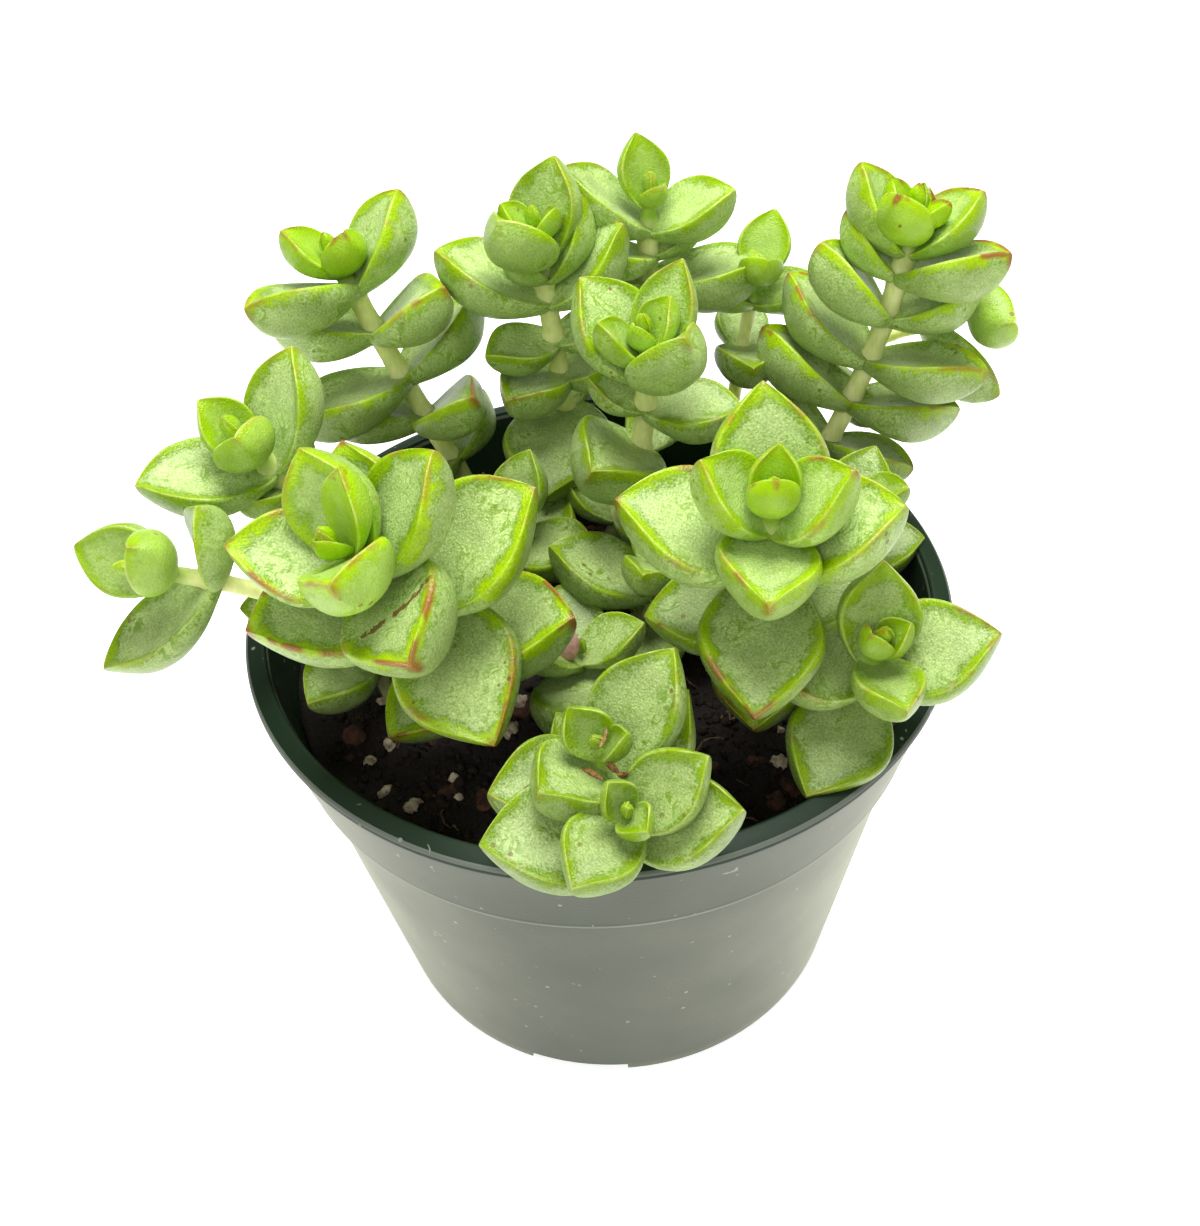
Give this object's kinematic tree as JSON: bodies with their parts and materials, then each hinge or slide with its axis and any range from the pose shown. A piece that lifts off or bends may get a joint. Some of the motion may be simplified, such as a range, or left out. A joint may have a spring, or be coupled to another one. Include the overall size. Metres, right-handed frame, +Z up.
{
  "type": "potted rosary vine",
  "caption": "Clump of stacked, pointed succulent leaves on upright stems, growing in soil in a round green nursery pot.",
  "frame": {"origin": "centre of the pot's underside, on the surface that the pot stands on", "axes": "+Z up along the pot's axis, -Y towards the viewer of the picture, +X to that viewer's right"},
  "size_m": [0.1409, 0.1206, 0.1257],
  "materials": {
    "pot_plastic": "satin",
    "potting_soil": "matte",
    "leaf": "satin",
    "stem": "satin",
    "young_shoot": "satin"
  },
  "bodies": {
    "root": {"leaf_pair_back_1": "leaf", "leaf_pair_back_2": "leaf", "leaf_pair_back_3": "leaf", "leaf_pair_back_left_1": "leaf", "leaf_pair_back_left_2": "leaf", "leaf_pair_back_left_3": "leaf", "leaf_pair_back_left_4": "leaf", "leaf_pair_back_middle_1": "leaf", "leaf_pair_back_middle_2": "leaf", "leaf_pair_back_middle_3": "leaf", "leaf_pair_back_middle_4": "leaf", "leaf_pair_back_right_1": "leaf", "leaf_pair_back_right_2": "leaf", "leaf_pair_back_right_3": "leaf", "leaf_pair_back_right_4": "leaf", "leaf_pair_back_right_5": "leaf", "leaf_pair_back_right_6": "leaf", "leaf_pair_front_left_1": "leaf", "leaf_pair_front_left_2": "leaf", "leaf_pair_front_left_3": "leaf", "leaf_pair_front_left_4": "leaf", "leaf_pair_front_left_5": "leaf", "leaf_pair_front_left_6": "leaf", "leaf_pair_front_left_7": "leaf", "leaf_pair_front_middle_1": "leaf", "leaf_pair_front_middle_2": "leaf", "leaf_pair_front_middle_3": "leaf", "leaf_pair_front_right_1": "leaf", "leaf_pair_front_right_2": "leaf", "leaf_pair_front_right_3": "leaf", "leaf_pair_front_right_4": "leaf", "leaf_pair_front_right_5": "leaf", "leaf_pair_front_right_6": "leaf", "leaf_pair_front_rim_1": "leaf", "leaf_pair_front_rim_2": "leaf", "leaf_pair_left_1": "leaf", "leaf_pair_middle_1": "leaf", "leaf_pair_right_rim_1": "leaf", "leaf_pair_right_rim_2": "leaf", "pot": "pot_plastic", "soil": "potting_soil", "sprout_back_small": "young_shoot", "sprout_centre": "young_shoot", "sprout_centre_low": "young_shoot", "sprout_hidden_middle": "young_shoot", "sprout_left_low": "young_shoot", "sprout_left_outer": "young_shoot", "sprout_right_low": "young_shoot", "sprout_right_outer": "young_shoot", "stem_back": "stem", "stem_back_left": "stem", "stem_back_middle": "stem", "stem_back_right": "stem", "stem_front_left": "stem", "stem_front_middle": "stem", "stem_front_right": "stem", "stem_front_rim": "stem", "stem_left": "stem", "stem_middle": "stem", "stem_right_rim": "stem"}
  },
  "joints": []
}
